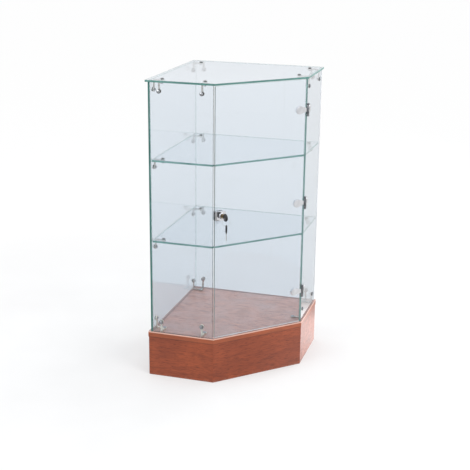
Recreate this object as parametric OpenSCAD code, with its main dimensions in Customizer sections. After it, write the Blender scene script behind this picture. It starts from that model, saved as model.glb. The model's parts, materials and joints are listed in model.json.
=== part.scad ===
// Five-sided glass corner case on a laminated plinth, with two glass shelves and a hinged door.
// The two long back sides meet at the room's corner and the door closes the slanted front.
// The origin is on the floor, at the middle of the box that the case, its lock and its keys fill,
// with +Z up. The back sides face -X and +Y.

/* [Case] */
// Length of each of the two back sides
case_w = 450; // [420:1:600]
// Length of each short side beside the door
side_w = 219; // [200:1:250]
// Height from the floor to the upper face of the top glass
case_h = 960; // [940:1:1400]

/* [Plinth] */
// Height of the upright boards
plinth_h = 132; // [80:1:150]
// Thickness of the upright boards
plinth_t = 18; // [12:1:25]
// Distance of the upright boards behind the edge of the floor board
plinth_set = 1; // [0:0.5:10]
// Thickness of the floor board
board_t = 18; // [16:1:25]

/* [Glass] */
// Thickness of every pane
glass_t = 6; // [5:0.5:8]
// Distance of the back walls behind the edge of the floor board
back_set = 8; // [6:0.5:14]
// Distance of the short walls behind the edge of the floor board
front_set = 4; // [3.5:0.25:5]
// Open joint between two walls at a corner
wall_joint = 0.3; // [0.1:0.1:1]
// Distance from the case corner to the end of the wall beside the lock
lock_wall_end = 5; // [3:0.5:6]
// Distance from the case corner to the end of the wall beside the hinges
hinge_wall_end = 6.5; // [6:0.5:10]
// Height of the lower shelf's upper face above the floor board
lower_shelf_rise = 305; // [220:1:320]
// Height of the upper shelf's upper face above the floor board
upper_shelf_rise = 564; // [450:1:640]
// Clearance between a shelf and the walls
shelf_gap = 1.5; // [0.5:0.5:3]
// Clearance between a shelf and the closed door
shelf_door_gap = 3.3; // [2:0.1:10]

/* [Door] */
// Distance of the door's outer face behind the edge of the floor board
door_set = 4; // [3.5:0.25:5]
// Distance from the case corner to the door's edge at the lock
door_lock_end = 6; // [5.5:0.5:14]
// Distance from the case corner to the door's edge at the hinges
door_hinge_end = 6; // [6:0.5:10]
// Clearance under and over the door
door_gap = 3; // [2:0.5:5]

/* [Brackets] */
// Distance from a wall to the seat screw, and from a corner to a wall screw
bracket_reach = 28; // [22:1:34]
// Height of the wall screws above the floor board
base_rise = 35; // [26:1:45]
// Distance of the wall screws below the top glass
top_drop = 27; // [22:1:40]
// Distance of the wall screws below a shelf
shelf_drop = 22; // [21:1:40]
// Distance from the end of the wall beside the lock to its brackets
lock_bracket_in = 36; // [25:1:45]
// Distance from the end of the wall beside the hinges to its brackets
hinge_bracket_in = 24; // [18:1:40]
// Width of a bracket's arms
arm_w = 5.5; // [5:0.5:8]
// Thickness of the level arms
leg_t = 5; // [4:0.5:7]
// Thickness of the upright arms
upright_t = 4; // [3:0.5:6]
// Diameter of the round pads at the screws
pad_d = 14; // [12:0.5:16]
// Radius of the inner bend between the two arms
bend_r = 5; // [2:0.5:8]

/* [Fasteners] */
// Diameter of the screws
screw_d = 4; // [3:0.5:5]
// Radial play of a screw in metal
screw_play = 0.1; // [0.05:0.05:0.3]
// Diameter of the holes in the glass
glass_hole_d = 7; // [6:0.5:9]
// Diameter of the screw heads
head_d = 11; // [9:0.5:12]
// Height of the screw heads
head_h = 2.8; // [2:0.2:4]
// Diameter of the washers
washer_d = 13; // [12:0.5:15]
// Thickness of the washers
washer_t = 1; // [0.5:0.25:2]
// Width of the nuts across their flats
nut_af = 7; // [7:0.5:9]
// Height of the nuts
nut_h = 3.2; // [2.5:0.1:5]
// Depth of the base screws in the floor board
base_screw_in = 13; // [8:1:14]

/* [Hinges] */
// Height of the lowest hinge above the door's foot
low_hinge_rise = 107; // [60:1:150]
// Height of the middle hinge above the door's foot
mid_hinge_rise = 406; // [360:1:420]
// Distance of the top hinge below the door's head
top_hinge_drop = 93; // [60:1:110]
// Height of a hinge's barrel
hinge_h = 40; // [34:1:60]
// Height of the door leaf's knuckle
knuckle_h = 13; // [10:0.5:16]
// Play between two knuckles
knuckle_gap = 0.3; // [0.2:0.1:0.6]
// Radius of the barrel
barrel_r = 4.25; // [3.75:0.25:5]
// Diameter of the hinge pin
pin_d = 4; // [3:0.25:5]
// Radial play of the door leaf on the pin
pin_play = 0.05; // [0.02:0.01:0.1]
// Distance from the pin to the middle of a leaf's round end
leaf_reach = 29; // [25:1:32]
// Radius of a leaf's round end
leaf_r = 13; // [11:0.5:14]
// Thickness of a leaf
leaf_t = 3.5; // [2.5:0.25:3.5]
// Height of the raised disc on the leaf's round end
disc_t = 4.5; // [4:0.25:6]
// Radius of the pads on the inner side of the glass
inner_pad_r = 10; // [8:0.5:12]
// Thickness of the pads on the inner side of the glass
inner_pad_t = 3; // [2:0.5:4]

/* [Lock] */
// Height of the lock above the door's foot
lock_rise = 402; // [340:1:440]
// Distance from the door's edge to the lock's axis
lock_in = 20; // [19:0.5:24]
// Length of the clamp along the door
clamp_l = 34; // [33:0.5:40]
// Height of the clamp
clamp_h = 29.5; // [27:0.5:36]
// Thickness of the clamp in front of the glass
clamp_t = 9; // [6:0.5:12]
// Thickness of the clamp behind the glass
clamp_back_t = 2.5; // [2:0.5:4]
// Thickness of the clamp round the door's edge
clamp_web_t = 1.5; // [1:0.1:2]
// Room between the glass and the clamp
clamp_gap = 0.3; // [0.1:0.1:0.5]
// Radius of the clamp's corners away from the door's edge
clamp_r = 10; // [4:0.5:12]
// Radius of the cylinder's collar
collar_r = 10; // [9:0.5:11]
// Distance from the glass to the collar's front
collar_out = 12; // [11:0.5:16]
// Radius of the cylinder's sleeve
sleeve_r = 8.5; // [8:0.25:8.75]
// Length of the sleeve from the glass's outer face inwards
sleeve_in = 17; // [14:0.5:20]
// Radius of the turning plug
plug_r = 6; // [5:0.25:6.5]
// Radial play of the plug
plug_play = 0.05; // [0.02:0.01:0.1]
// Length of the tongue from the lock's axis to its tip
tongue_reach = 31; // [27:0.5:31.5]
// Radius of the tongue's round end
tongue_r = 11; // [8:0.5:12]
// Thickness of the tongue
tongue_t = 2; // [1.5:0.25:3]

/* [Keys] */
// Radius of a key's bow
bow_r = 12.25; // [11:0.25:13]
// Thickness of a key's bow
bow_t = 5.5; // [4:0.5:6]
// Distance from the bow's middle to its hole
bow_hole_in = 6; // [5.5:0.25:6.5]
// Radius of the hole in the bow
bow_hole_r = 3.5; // [3.4:0.05:3.6]
// Distance from the glass to the middle of the inserted key's bow
bow_out = 31; // [29.5:0.5:34]
// Length of a key's blade past its bow
blade_l = 26; // [24:0.5:28]
// Width of a key's blade
blade_w = 6.5; // [5:0.25:7]
// Thickness of a key's blade
blade_t = 2; // [1.5:0.1:2.4]
// Number of cuts along a blade's edge
blade_cuts = 5; // [3:1:7]
// Depth of the deepest cut
cut_depth = 1.6; // [0.5:0.1:2]
// Play between a blade and its slot
blade_play = 0.1; // [0.05:0.01:0.2]
// Radius of the key ring, to the middle of its wire
ring_r = 12.5; // [11:0.5:14]
// Radius of the key ring's wire
ring_wire_r = 0.7; // [0.5:0.05:0.9]
// Height of the ring's wire below the middle of the key's hole
ring_drop = 0.8; // [0.5:0.05:0.8]
// Play between the ring and the edge of the spare key's hole
ring_play = 0.3; // [0.2:0.05:0.5]
// Turn of the hanging ring about the vertical
ring_turn = -28.7; // [-35:0.1:-20]

/* [Hidden] */
$fn = 48;
// Depth by which a cutter passes through the face it cuts
cut = 1;

// Middle of the square footprint, which the lock and the keys in front hold off the origin
mid = [-2, 7];
left = mid[0] - case_w / 2;
right = mid[0] + case_w / 2;
front = mid[1] - case_w / 2;
back = mid[1] + case_w / 2;
board_z = plinth_h + board_t;
wall_top = case_h - glass_t;
lower_shelf_z = board_z + lower_shelf_rise;
upper_shelf_z = board_z + upper_shelf_rise;

// Inner faces of the walls
inner_left = left + back_set + glass_t;
inner_back = back - back_set - glass_t;
inner_front = front + front_set + glass_t;
inner_right = right - front_set - glass_t;
lock_wall_x = left + side_w - lock_wall_end;
hinge_wall_y = back - side_w + hinge_wall_end;

// The slanted front runs from its left corner at 45 degrees to its right corner
front_left_corner = [left + side_w, front];
front_right_corner = [right, back - side_w];
front_l = norm(front_right_corner - front_left_corner);
door_w = front_l - door_lock_end - door_hinge_end;
door_foot = board_z + door_gap;
door_head = wall_top - door_gap;

// Corners of the plan, set in from the back, the short sides and the slanted front
function plan(back_in, side_in, slant_in) =
  let (run = side_w - slant_in * sqrt(2))
  [
    [left + back_in, front + side_in],
    [left + side_in + run, front + side_in],
    [right - side_in, back - side_in - run],
    [right - side_in, back - back_in],
    [left + back_in, back - back_in]
  ];

// A corner or a wall station of a bracket: its place in plan and its turn
left_corner = [inner_left, inner_front, 0];
back_corner = [inner_left, inner_back, -90];
right_corner = [inner_right, inner_back, 180];
lock_station = [lock_wall_x - lock_bracket_in, inner_front, 0];
hinge_station = [inner_right, hinge_wall_y + hinge_bracket_in, 90];
left_station = [inner_left, inner_front + bracket_reach, -90];
right_station = [inner_right - bracket_reach, inner_back, 180];

// A level of brackets: the height of its seats, whether it hangs, and the run to its wall screws
base_level = [board_z, false, base_rise];
lower_level = [lower_shelf_z - glass_t, true, shelf_drop];
upper_level = [upper_shelf_z - glass_t, true, shelf_drop];
top_level = [wall_top, true, top_drop];
levels = [base_level, lower_level, upper_level, top_level];
shelf_levels = [lower_level, upper_level];

// A shelf hangs from both walls only at the back corner, and from one wall at its two ends
function is_shelf(level) = level == lower_level || level == upper_level;
function level_corners(level) =
  is_shelf(level) ? [back_corner] : [left_corner, back_corner, right_corner];
function level_stations(level) =
  is_shelf(level) ? [left_station, right_station] : [lock_station, hinge_station];

// Plinth

module plinth_board(i) {
  outer = plan(plinth_set, plinth_set, plinth_set);
  inner_set = plinth_set + plinth_t;
  inner = plan(inner_set, inner_set, inner_set);
  j = (i + 1) % len(outer);
  color("sienna")
    linear_extrude(plinth_h)
      polygon([outer[i], outer[j], inner[j], inner[i]]);
}

module floor_board() {
  color("sienna")
    difference() {
      translate([0, 0, plinth_h])
        linear_extrude(board_t)
          polygon(plan(0, 0, 0));
      at_seats(base_level)
        translate([0, 0, -base_screw_in - cut])
          cylinder(r = screw_d / 2 + screw_play, h = base_screw_in + 2 * cut);
    }
}

// Placing of brackets and screws. At a bracket the walls lie on the planes x = 0 and y = 0,
// the seat on z = 0, and the wall screws at z = rise.

module at_bracket(place, level) {
  translate([place[0], place[1], level[0]])
    rotate([0, 0, place[2]])
      mirror([0, 0, level[1] ? 1 : 0])
        children();
}

// Seat screws of a level, with z = 0 on the seat and +z towards the bracket
module at_seats(level) {
  for (place = level_corners(level))
    at_bracket(place, level)
      translate([bracket_reach, bracket_reach, 0])
        children();
  for (place = level_stations(level))
    at_bracket(place, level)
      translate([0, bracket_reach, 0])
        children();
}

// Wall screws of every level, with z = 0 on the wall's inner face and +z into the case
module at_wall_screws() {
  for (level = levels) {
    for (place = level_corners(level))
      at_bracket(place, level) {
        translate([bracket_reach, 0, level[2]])
          rotate([-90, 0, 0])
            children();
        translate([0, bracket_reach, level[2]])
          rotate([0, 90, 0])
            children();
      }
    for (place = level_stations(level))
      at_bracket(place, level)
        translate([0, 0, level[2]])
          rotate([-90, 0, 0])
            children();
  }
}

module glass_hole(d = glass_hole_d) {
  translate([0, 0, -glass_t - cut])
    cylinder(r = d / 2, h = glass_t + 2 * cut);
}

// Glass

module wall(low, high) {
  color([0.8, 0.92, 0.9, 0.35])
    difference() {
      translate([low[0], low[1], board_z])
        cube([high[0] - low[0], high[1] - low[1], wall_top - board_z]);
      at_wall_screws()
        glass_hole();
      at_side_leaves()
        leaf_hole(front_set);
    }
}

module wall_back_left() {
  wall([inner_left - glass_t, inner_front - glass_t], [inner_left, inner_back + glass_t]);
}

module wall_back_right() {
  wall([inner_left + wall_joint, inner_back], [inner_right + glass_t, inner_back + glass_t]);
}

module wall_front_left() {
  wall([inner_left + wall_joint, inner_front - glass_t], [lock_wall_x, inner_front]);
}

module wall_right() {
  wall([inner_right, hinge_wall_y], [inner_right + glass_t, inner_back - wall_joint]);
}

module top_glass() {
  color([0.8, 0.92, 0.9, 0.35])
    difference() {
      translate([0, 0, wall_top])
        linear_extrude(glass_t)
          polygon(plan(0, 0, 0));
      at_seats(top_level)
        glass_hole();
    }
}

module shelf(level) {
  back_in = back_set + glass_t + shelf_gap;
  side_in = front_set + glass_t + shelf_gap;
  slant_in = door_set + glass_t + shelf_door_gap;
  color([0.8, 0.92, 0.9, 0.35])
    difference() {
      translate([0, 0, level[0]])
        linear_extrude(glass_t)
          polygon(plan(back_in, side_in, slant_in));
      at_seats(level)
        glass_hole();
    }
}

// Brackets

module arm(rise) {
  rotate([90, 0, 90])
    linear_extrude(arm_w, center = true)
      difference() {
        union() {
          square([bracket_reach, leg_t]);
          square([upright_t, rise]);
          difference() {
            translate([upright_t - cut, leg_t - cut])
              square(bend_r + cut);
            translate([upright_t + bend_r, leg_t + bend_r])
              circle(bend_r);
          }
        }
        difference() {
          translate([-cut, -cut])
            square(upright_t / 2 + cut);
          translate([upright_t / 2, upright_t / 2])
            circle(upright_t / 2);
        }
      }
}

module wall_pad(rise) {
  translate([0, 0, rise])
    rotate([-90, 0, 0])
      cylinder(r = pad_d / 2, h = upright_t);
}

module wall_bore(rise) {
  translate([0, -cut, rise])
    rotate([-90, 0, 0])
      cylinder(r = screw_d / 2 + screw_play, h = upright_t + 2 * cut);
}

module seat_pad() {
  cylinder(r = pad_d / 2, h = leg_t);
}

module seat_bore() {
  translate([0, 0, -cut])
    cylinder(r = screw_d / 2 + screw_play, h = leg_t + 2 * cut);
}

// Holds both walls of a corner, with its seat between them
module corner_bracket(place, level) {
  color("silver")
    at_bracket(place, level)
      difference() {
        union() {
          for (side = [0, 1])
            mirror([side, -side, 0])
              translate([bracket_reach, 0, 0]) {
                arm(level[2]);
                wall_pad(level[2]);
              }
          translate([bracket_reach, bracket_reach, 0])
            seat_pad();
        }
        for (side = [0, 1])
          mirror([side, -side, 0])
            translate([bracket_reach, 0, 0])
              wall_bore(level[2]);
        translate([bracket_reach, bracket_reach, 0])
          seat_bore();
      }
}

// Holds one wall, with its seat in front of it
module wall_bracket(place, level) {
  color("silver")
    at_bracket(place, level)
      difference() {
        union() {
          arm(level[2]);
          wall_pad(level[2]);
          translate([0, bracket_reach, 0])
            seat_pad();
        }
        wall_bore(level[2]);
        translate([0, bracket_reach, 0])
          seat_bore();
      }
}

// Fasteners. Each stands on z = 0 with its head below and its shank up.

module screw_head() {
  rim_h = head_h / 2;
  rise = head_h - rim_h;
  dome_r = (pow(head_d / 2, 2) + rise * rise) / (2 * rise);
  mirror([0, 0, 1])
    rotate_extrude()
      intersection() {
        square([head_d / 2, head_h]);
        translate([0, head_h - dome_r])
          circle(dome_r, $fn = 180);
      }
}

module screw(shank) {
  screw_head();
  cylinder(r = screw_d / 2, h = shank);
}

module washer() {
  difference() {
    cylinder(r = washer_d / 2, h = washer_t);
    translate([0, 0, -cut])
      cylinder(r = screw_d / 2 + screw_play, h = washer_t + 2 * cut);
  }
}

module nut(af = nut_af, h = nut_h, bore_r = screw_d / 2 + screw_play) {
  difference() {
    cylinder(r = af / sqrt(3), h = h, $fn = 6);
    translate([0, 0, -cut])
      cylinder(r = bore_r, h = h + 2 * cut);
  }
}

// Depth from a screw's head to the far side of what it clamps
wall_stack = washer_t + glass_t + upright_t;
seat_stack = glass_t + leg_t;

module wall_screws() {
  color("silver")
    at_wall_screws()
      translate([0, 0, -glass_t - washer_t])
        screw(wall_stack + nut_h + screw_d / 4);
}

module wall_washers() {
  color("dimgray")
    at_wall_screws()
      translate([0, 0, -glass_t - washer_t])
        washer();
}

module wall_nuts() {
  color("silver")
    at_wall_screws()
      translate([0, 0, upright_t])
        nut();
}

module base_screws() {
  color("silver")
    at_seats(base_level)
      translate([0, 0, leg_t])
        mirror([0, 0, 1])
          screw(leg_t + base_screw_in);
}

module seat_screws(level) {
  at_seats(level)
    translate([0, 0, -glass_t])
      screw(seat_stack + nut_h + screw_d / 4);
}

module seat_nuts(level) {
  at_seats(level)
    translate([0, 0, leg_t])
      nut();
}

module shelf_screws() {
  color("silver")
    for (level = shelf_levels)
      seat_screws(level);
}

module shelf_nuts() {
  color("silver")
    for (level = shelf_levels)
      seat_nuts(level);
}

module top_screws() {
  color("silver")
    seat_screws(top_level);
}

module top_nuts() {
  color("silver")
    seat_nuts(top_level);
}

// Hinges. The pins stand over the right corner of the slanted front. On a leaf the pin is at the
// origin, the leaf runs along +x, and the glass lies below y = -set.

low_hinge_z = door_foot + low_hinge_rise;
mid_hinge_z = door_foot + mid_hinge_rise;
top_hinge_z = door_head - top_hinge_drop;
hinge_heights = [low_hinge_z, mid_hinge_z, top_hinge_z];

module at_door_leaf(z) {
  translate([front_right_corner[0], front_right_corner[1], z])
    rotate([0, 0, -135])
      children();
}

module at_side_leaf(z) {
  translate([front_right_corner[0], front_right_corner[1], z])
    rotate([0, 0, 90])
      mirror([0, 1, 0])
        children();
}

module at_door_leaves() {
  for (z = hinge_heights)
    at_door_leaf(z)
      children();
}

module at_side_leaves() {
  for (z = hinge_heights)
    at_side_leaf(z)
      children();
}

// Hole in the glass under a leaf's round end
module leaf_hole(set) {
  translate([leaf_reach, -set + cut, 0])
    rotate([90, 0, 0])
      cylinder(r = glass_hole_d / 2, h = glass_t + 2 * cut);
}

// Where the edge of a leaf that leaves the point (x, h) meets its round end
function leaf_touch(x, h) =
  let (
    run = leaf_reach - x,
    a = atan2(h, -run) - acos(leaf_r / norm([run, h]))
  )
  [leaf_reach + leaf_r * cos(a), leaf_r * sin(a)];

// A plate that starts at the pin with the height 2 * h and ends round
module leaf_outline(x, h) {
  touch = leaf_touch(x, h);
  polygon([
    [0, -h], [x, -h], [touch[0], -touch[1]], [leaf_reach, 0],
    touch, [x, h], [0, h]
  ]);
  translate([leaf_reach, 0])
    circle(leaf_r, $fn = 90);
}

module leaf_plate(x, h, set) {
  translate([0, -set + leaf_t, 0])
    rotate([90, 0, 0])
      linear_extrude(leaf_t)
        leaf_outline(x, h);
  translate([leaf_reach, -set, 0])
    rotate([-90, 0, 0]) {
      cylinder(r = leaf_r - 2, h = disc_t - 0.5);
      cylinder(r = leaf_r - 2.5, h = disc_t);
    }
}

module leaf_screw_bore(set) {
  translate([leaf_reach, -set - cut, 0])
    rotate([-90, 0, 0])
      cylinder(r = screw_d / 2 + screw_play, h = leaf_t - 0.3 + cut);
}

module knuckle(z, h) {
  translate([0, 0, z])
    cylinder(r = barrel_r, h = h);
}

module hinge_door_leaf(z) {
  color("silver")
    at_door_leaf(z)
      difference() {
        union() {
          leaf_plate(barrel_r + cut, knuckle_h / 2, door_set);
          knuckle(-knuckle_h / 2, knuckle_h);
        }
        translate([0, 0, -knuckle_h])
          cylinder(r = pin_d / 2 + pin_play, h = 2 * knuckle_h);
        leaf_screw_bore(door_set);
      }
}

module hinge_side_leaf(z) {
  window_h = knuckle_h + 2 * knuckle_gap;
  end_h = (hinge_h - window_h) / 2;
  color("silver")
    at_side_leaf(z)
      difference() {
        union() {
          leaf_plate(barrel_r, hinge_h / 2, front_set);
          knuckle(-hinge_h / 2, end_h);
          knuckle(window_h / 2, end_h);
        }
        translate([-barrel_r - cut, -front_set - cut, -window_h / 2])
          cube([2 * barrel_r + 2 * cut, front_set + barrel_r + 2 * cut, window_h]);
        translate([0, 0, -hinge_h])
          cylinder(r = pin_d / 2, h = 2 * hinge_h);
        leaf_screw_bore(front_set);
      }
}

module hinge_pins() {
  color("silver")
    for (z = hinge_heights)
      at_side_leaf(z) {
        cylinder(r = pin_d / 2, h = hinge_h, center = true);
        for (end = [0, 1])
          mirror([0, 0, end])
            translate([0, 0, hinge_h / 2])
              cylinder(r = barrel_r - 1, h = 1);
      }
}

module inner_pad(set) {
  translate([leaf_reach, -set - glass_t, 0])
    rotate([90, 0, 0])
      difference() {
        cylinder(r = inner_pad_r, h = inner_pad_t);
        translate([0, 0, -cut])
          cylinder(r = screw_d / 2 + screw_play, h = inner_pad_t + 2 * cut);
      }
}

module leaf_screw(set) {
  stack = inner_pad_t + glass_t;
  translate([leaf_reach, -set - stack, 0])
    rotate([-90, 0, 0])
      screw(stack + leaf_t - 1);
}

module hinge_side_pads() {
  color("silver")
    at_side_leaves()
      inner_pad(front_set);
}

module hinge_door_pads() {
  color("silver")
    at_door_leaves()
      inner_pad(door_set);
}

module hinge_side_screws() {
  color("silver")
    at_side_leaves()
      leaf_screw(front_set);
}

module hinge_door_screws() {
  color("silver")
    at_door_leaves()
      leaf_screw(door_set);
}

// Door and lock. On the door +x runs from the lock's edge to the hinges, y = 0 is the outer face
// and +y points into the case. At the lock +x is kept, +y is up and +z points out of the case.

module at_door() {
  translate([front_left_corner[0], front_left_corner[1], 0])
    rotate([0, 0, 45])
      translate([door_lock_end, door_set, 0])
        children();
}

module at_lock() {
  at_door()
    translate([lock_in, 0, door_foot + lock_rise])
      rotate([90, 0, 0])
        children();
}

lock_hole_d = 2 * sleeve_r + 2;

module door_glass() {
  color([0.8, 0.92, 0.9, 0.35])
    difference() {
      at_door()
        translate([0, 0, door_foot])
          cube([door_w, glass_t, door_head - door_foot]);
      at_door_leaves()
        leaf_hole(door_set);
      at_lock()
        glass_hole(lock_hole_d);
    }
}

clamp_end = clamp_l - lock_in;
clamp_edge = -lock_in - clamp_gap - clamp_web_t;
clamp_back = glass_t + clamp_gap + clamp_back_t;

// Front view of the clamp, round at the far corners
module clamp_outline() {
  translate([clamp_edge, -clamp_h / 2])
    square([clamp_end - clamp_r - clamp_edge, clamp_h]);
  translate([clamp_edge, -clamp_h / 2 + clamp_r])
    square([clamp_end - clamp_edge, clamp_h - 2 * clamp_r]);
  for (side = [-1, 1])
    translate([clamp_end - clamp_r, side * (clamp_h / 2 - clamp_r)])
      circle(clamp_r, $fn = 90);
}

// Section of the clamp as it grips the door's edge, seen from above
module clamp_section() {
  bevel = clamp_t / 2;
  difference() {
    polygon([
      [clamp_edge, -clamp_back], [clamp_edge, clamp_t - bevel], [clamp_edge + bevel, clamp_t],
      [clamp_end, clamp_t], [clamp_end, -clamp_back]
    ]);
    translate([-lock_in - clamp_gap, -glass_t - clamp_gap])
      square([clamp_l + 2 * cut, glass_t + clamp_gap]);
  }
}

set_screw_x = -lock_in + clamp_l / 4;
set_screw_y = clamp_h / 4;

module at_set_screws() {
  for (side = [-1, 1])
    translate([set_screw_x, side * set_screw_y, -clamp_back])
      children();
}

module lock_clamp() {
  color("silver")
    at_lock()
      difference() {
        intersection() {
          translate([0, 0, -clamp_back])
            linear_extrude(clamp_back + clamp_t)
              clamp_outline();
          translate([0, clamp_h / 2, 0])
            rotate([90, 0, 0])
              linear_extrude(clamp_h)
                clamp_section();
        }
        translate([0, 0, -clamp_back - cut])
          cylinder(r = sleeve_r, h = clamp_back + clamp_t + 2 * cut);
        at_set_screws()
          translate([0, 0, -cut])
            cylinder(r = screw_d / 2, h = clamp_back_t + 2 * cut);
      }
}

module lock_set_screws() {
  color("dimgray")
    at_lock()
      at_set_screws()
        cylinder(r = screw_d / 2, h = clamp_back - glass_t);
}

plug_head_r = plug_r + 1;
plug_head_t = 1.5;
plug_seat = collar_out - plug_head_t - knuckle_gap;

module lock_cylinder() {
  edge = 1.2;
  color("silver")
    at_lock()
      difference() {
        union() {
          translate([0, 0, -sleeve_in])
            cylinder(r = sleeve_r, h = sleeve_in + clamp_t);
          rotate_extrude($fn = 90)
            polygon([
              [0, clamp_t], [collar_r, clamp_t], [collar_r, collar_out - edge],
              [collar_r - edge, collar_out], [0, collar_out]
            ]);
        }
        translate([0, 0, -sleeve_in - cut])
          cylinder(r = plug_r + plug_play, h = sleeve_in + collar_out + 2 * cut);
        translate([0, 0, plug_seat - knuckle_gap])
          cylinder(r = plug_head_r + plug_play, h = collar_out);
      }
}

tongue_z = -sleeve_in - 0.4;
shank_r = 4;
shank_w = 6;
stud_r = 2.5;
tongue_nut_h = 3;
slot_end = bow_out - bow_r - blade_l - 1.5;

module plug_shank(play) {
  intersection() {
    circle(shank_r + play);
    square([shank_w + 2 * play, 2 * shank_r + 1], center = true);
  }
}

module lock_plug() {
  color("goldenrod")
    at_lock()
      difference() {
        union() {
          translate([0, 0, tongue_z])
            cylinder(r = plug_r, h = plug_seat - tongue_z);
          translate([0, 0, plug_seat])
            cylinder(r = plug_head_r, h = plug_head_t);
          translate([0, 0, tongue_z - tongue_t])
            linear_extrude(tongue_t)
              plug_shank(0);
          translate([0, 0, tongue_z - tongue_t - tongue_nut_h - 1])
            cylinder(r = stud_r, h = tongue_nut_h + 1);
        }
        translate([-blade_t / 2 - blade_play, -blade_w / 2 - blade_play, slot_end])
          cube([blade_t + 2 * blade_play, blade_w + 2 * blade_play, collar_out - slot_end + cut]);
      }
}

// Flat cam that hangs down when the lock is open and lies behind the wall when it is shut
module lock_tongue() {
  hub_r = 8;
  end_y = -tongue_reach + tongue_r;
  color("silver")
    at_lock()
      translate([0, 0, tongue_z - tongue_t])
        linear_extrude(tongue_t)
          difference() {
            union() {
              circle(hub_r);
              translate([-hub_r, end_y])
                square([2 * hub_r, -end_y]);
              translate([0, end_y])
                circle(tongue_r);
            }
            plug_shank(blade_play);
          }
}

module tongue_nut() {
  color("silver")
    at_lock()
      translate([0, 0, tongue_z - tongue_t - tongue_nut_h])
        nut(9, tongue_nut_h, stud_r + screw_play);
}

// Keys. On a key the bow's middle is at the origin, its hole lies along +z and its blade along -z,
// and the blade's width runs along y.

tang_l = 6;
tang_w = 5;
neck_w = 9;

function cut_at(i) = cut_depth * (0.45 + 0.55 * abs(sin(i * 77)));

// Outline of the blade: a straight back, and an edge with sloping cuts up to the pointed tip
module blade_outline() {
  pitch = (blade_l - 7) / blade_cuts;
  edge = [
    for (i = [0:blade_cuts - 1])
      for (k = [0:2])
        [
          -blade_w / 2 + (k == 1 ? cut_at(i) : 0),
          -bow_r - 4 - (i + k / 3) * pitch
        ]
  ];
  polygon(concat(
    [[tang_w / 2, -bow_r + tang_l], [-tang_w / 2, -bow_r + tang_l], [-tang_w / 2, -bow_r - 1],
     [-blade_w / 2, -bow_r - 1]],
    edge,
    [[-blade_w / 2, -bow_r - blade_l + 3], [0, -bow_r - blade_l],
     [blade_w / 2, -bow_r - blade_l + 3], [blade_w / 2, -bow_r - 1], [tang_w / 2, -bow_r - 1]]
  ));
}

module on_key_plane(t) {
  rotate([0, 90, 0])
    rotate([0, 0, 90])
      linear_extrude(t, center = true)
        children();
}

module key_blade_shape() {
  color("silver")
    on_key_plane(blade_t)
      blade_outline();
}

// Round moulded grip with a soft edge, a short neck and a hole for the ring
module key_bow_shape() {
  soft = bow_t / 3;
  color([0.1, 0.1, 0.12])
    difference() {
      union() {
        rotate([0, 90, 0])
          rotate_extrude($fn = 90)
            polygon([
              [0, -bow_t / 2], [bow_r - soft, -bow_t / 2], [bow_r, -bow_t / 2 + soft],
              [bow_r, bow_t / 2 - soft], [bow_r - soft, bow_t / 2], [0, bow_t / 2]
            ]);
        translate([-bow_t / 2 + 0.5, -neck_w / 2, -bow_r - 0.5])
          cube([bow_t - 1, neck_w, bow_r / 2]);
      }
      translate([0, 0, bow_hole_in])
        rotate([0, 90, 0])
          cylinder(r = bow_hole_r, h = bow_t + 2 * cut, center = true);
      translate([-blade_t / 2, -tang_w / 2, -bow_r - cut])
        cube([blade_t, tang_w, tang_l + cut]);
    }
}

module at_key() {
  at_lock()
    translate([0, 0, bow_out])
      children();
}

module key_blade() {
  at_key()
    key_blade_shape();
}

module key_bow() {
  at_key()
    key_bow_shape();
}

// How far the curved ring rises at the faces of the spare key's bow
ring_rise = ring_r - sqrt(pow(ring_r, 2) - pow(bow_t / 2, 2));
ring_foot = -ring_drop - 2 * ring_r;
spare_hole = ring_foot + ring_wire_r + ring_rise + ring_play - bow_hole_r;

module at_ring() {
  at_key()
    translate([0, 0, bow_hole_in])
      rotate([0, ring_turn, 0])
        children();
}

module key_ring() {
  color("silver")
    at_ring()
      translate([0, -ring_drop - ring_r, 0])
        rotate_extrude($fn = 90)
          translate([ring_r, 0])
            circle(ring_wire_r, $fn = 24);
}

module at_spare_key() {
  at_ring()
    translate([0, spare_hole - bow_hole_in, 0])
      rotate([-90, 0, 0])
        children();
}

module spare_key_blade() {
  at_spare_key()
    key_blade_shape();
}

module spare_key_bow() {
  at_spare_key()
    key_bow_shape();
}

plinth_board(0);  // plinth_front_left
plinth_board(1);  // plinth_door_side
plinth_board(2);  // plinth_right
plinth_board(3);  // plinth_back_right
plinth_board(4);  // plinth_back_left
floor_board();
wall_back_left();
wall_back_right();
wall_front_left();
wall_right();
top_glass();
shelf(lower_level);  // lower_shelf
shelf(upper_level);  // upper_shelf
door_glass();
corner_bracket(left_corner, base_level);  // base_bracket_left
corner_bracket(back_corner, base_level);  // base_bracket_back
corner_bracket(right_corner, base_level);  // base_bracket_right
wall_bracket(lock_station, base_level);  // base_bracket_lock_side
wall_bracket(hinge_station, base_level);  // base_bracket_hinge_side
wall_bracket(left_station, lower_level);  // lower_bracket_left
corner_bracket(back_corner, lower_level);  // lower_bracket_back
wall_bracket(right_station, lower_level);  // lower_bracket_right
wall_bracket(left_station, upper_level);  // upper_bracket_left
corner_bracket(back_corner, upper_level);  // upper_bracket_back
wall_bracket(right_station, upper_level);  // upper_bracket_right
corner_bracket(left_corner, top_level);  // top_bracket_left
corner_bracket(back_corner, top_level);  // top_bracket_back
corner_bracket(right_corner, top_level);  // top_bracket_right
wall_bracket(lock_station, top_level);  // top_bracket_lock_side
wall_bracket(hinge_station, top_level);  // top_bracket_hinge_side
wall_screws();
wall_washers();
wall_nuts();
base_screws();
shelf_screws();
shelf_nuts();
top_screws();
top_nuts();
hinge_side_leaf(low_hinge_z);  // hinge_side_leaf_low
hinge_side_leaf(mid_hinge_z);  // hinge_side_leaf_mid
hinge_side_leaf(top_hinge_z);  // hinge_side_leaf_top
hinge_door_leaf(low_hinge_z);  // hinge_door_leaf_low
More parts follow.
